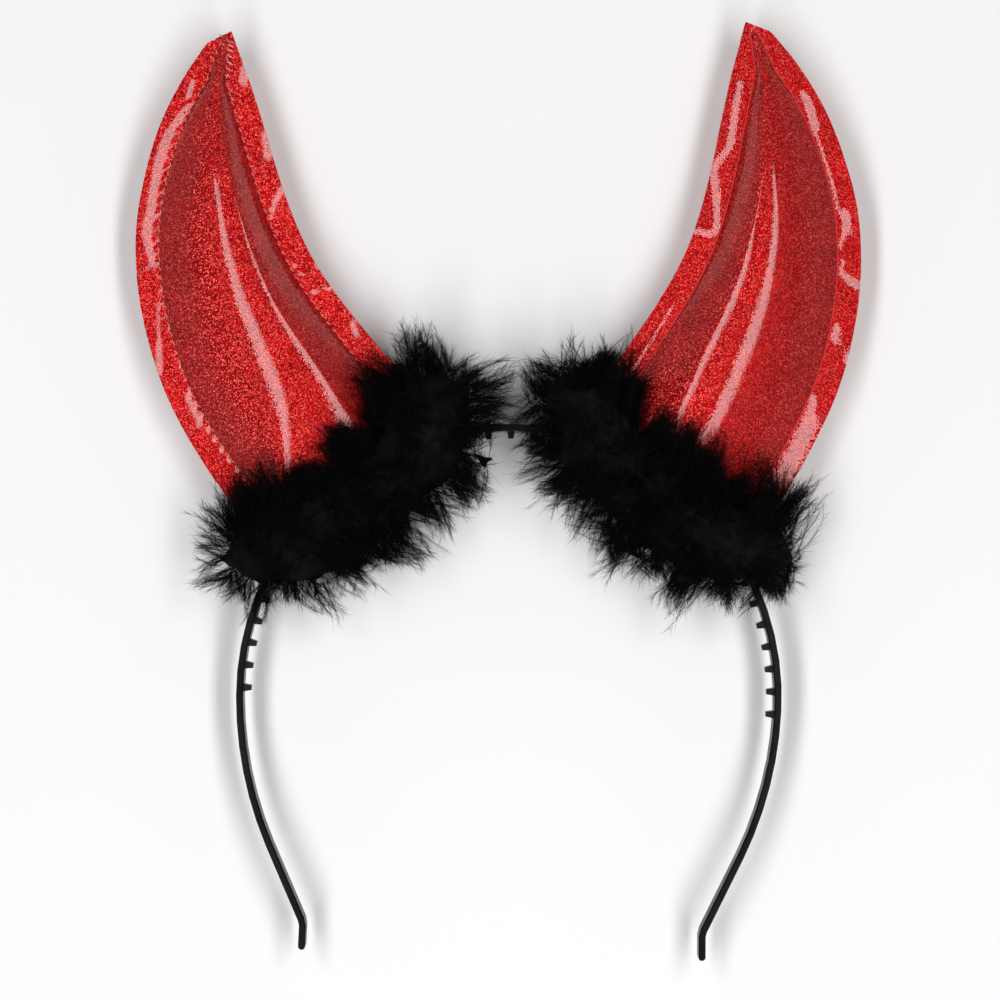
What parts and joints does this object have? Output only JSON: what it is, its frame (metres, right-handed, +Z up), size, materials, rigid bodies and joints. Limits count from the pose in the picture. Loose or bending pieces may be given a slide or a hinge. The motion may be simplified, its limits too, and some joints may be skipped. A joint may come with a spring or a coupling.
{
  "type": "devil horns headband",
  "caption": "Toothed plastic headband with padded red glitter devil horns set in black marabou trims.",
  "frame": {"origin": "centre of the bounding box, on the surface that the headband lies on", "axes": "+Y towards the horn tips, +Z up out of the horns' front face, +X to the right seen from above"},
  "size_m": [0.1738, 0.225, 0.0348],
  "materials": {
    "black_plastic": "gloss",
    "red_glitter_vinyl": "gloss",
    "white_wadding": "matte",
    "black_marabou": "matte"
  },
  "bodies": {
    "root": {"headband": "black_plastic", "horn_left_front_panel": "red_glitter_vinyl", "horn_left_back_panel": "red_glitter_vinyl", "horn_left_filling": "white_wadding", "horn_right_front_panel": "red_glitter_vinyl", "horn_right_back_panel": "red_glitter_vinyl", "horn_right_filling": "white_wadding", "marabou_trim_left": "black_marabou", "marabou_trim_right": "black_marabou"}
  },
  "joints": []
}
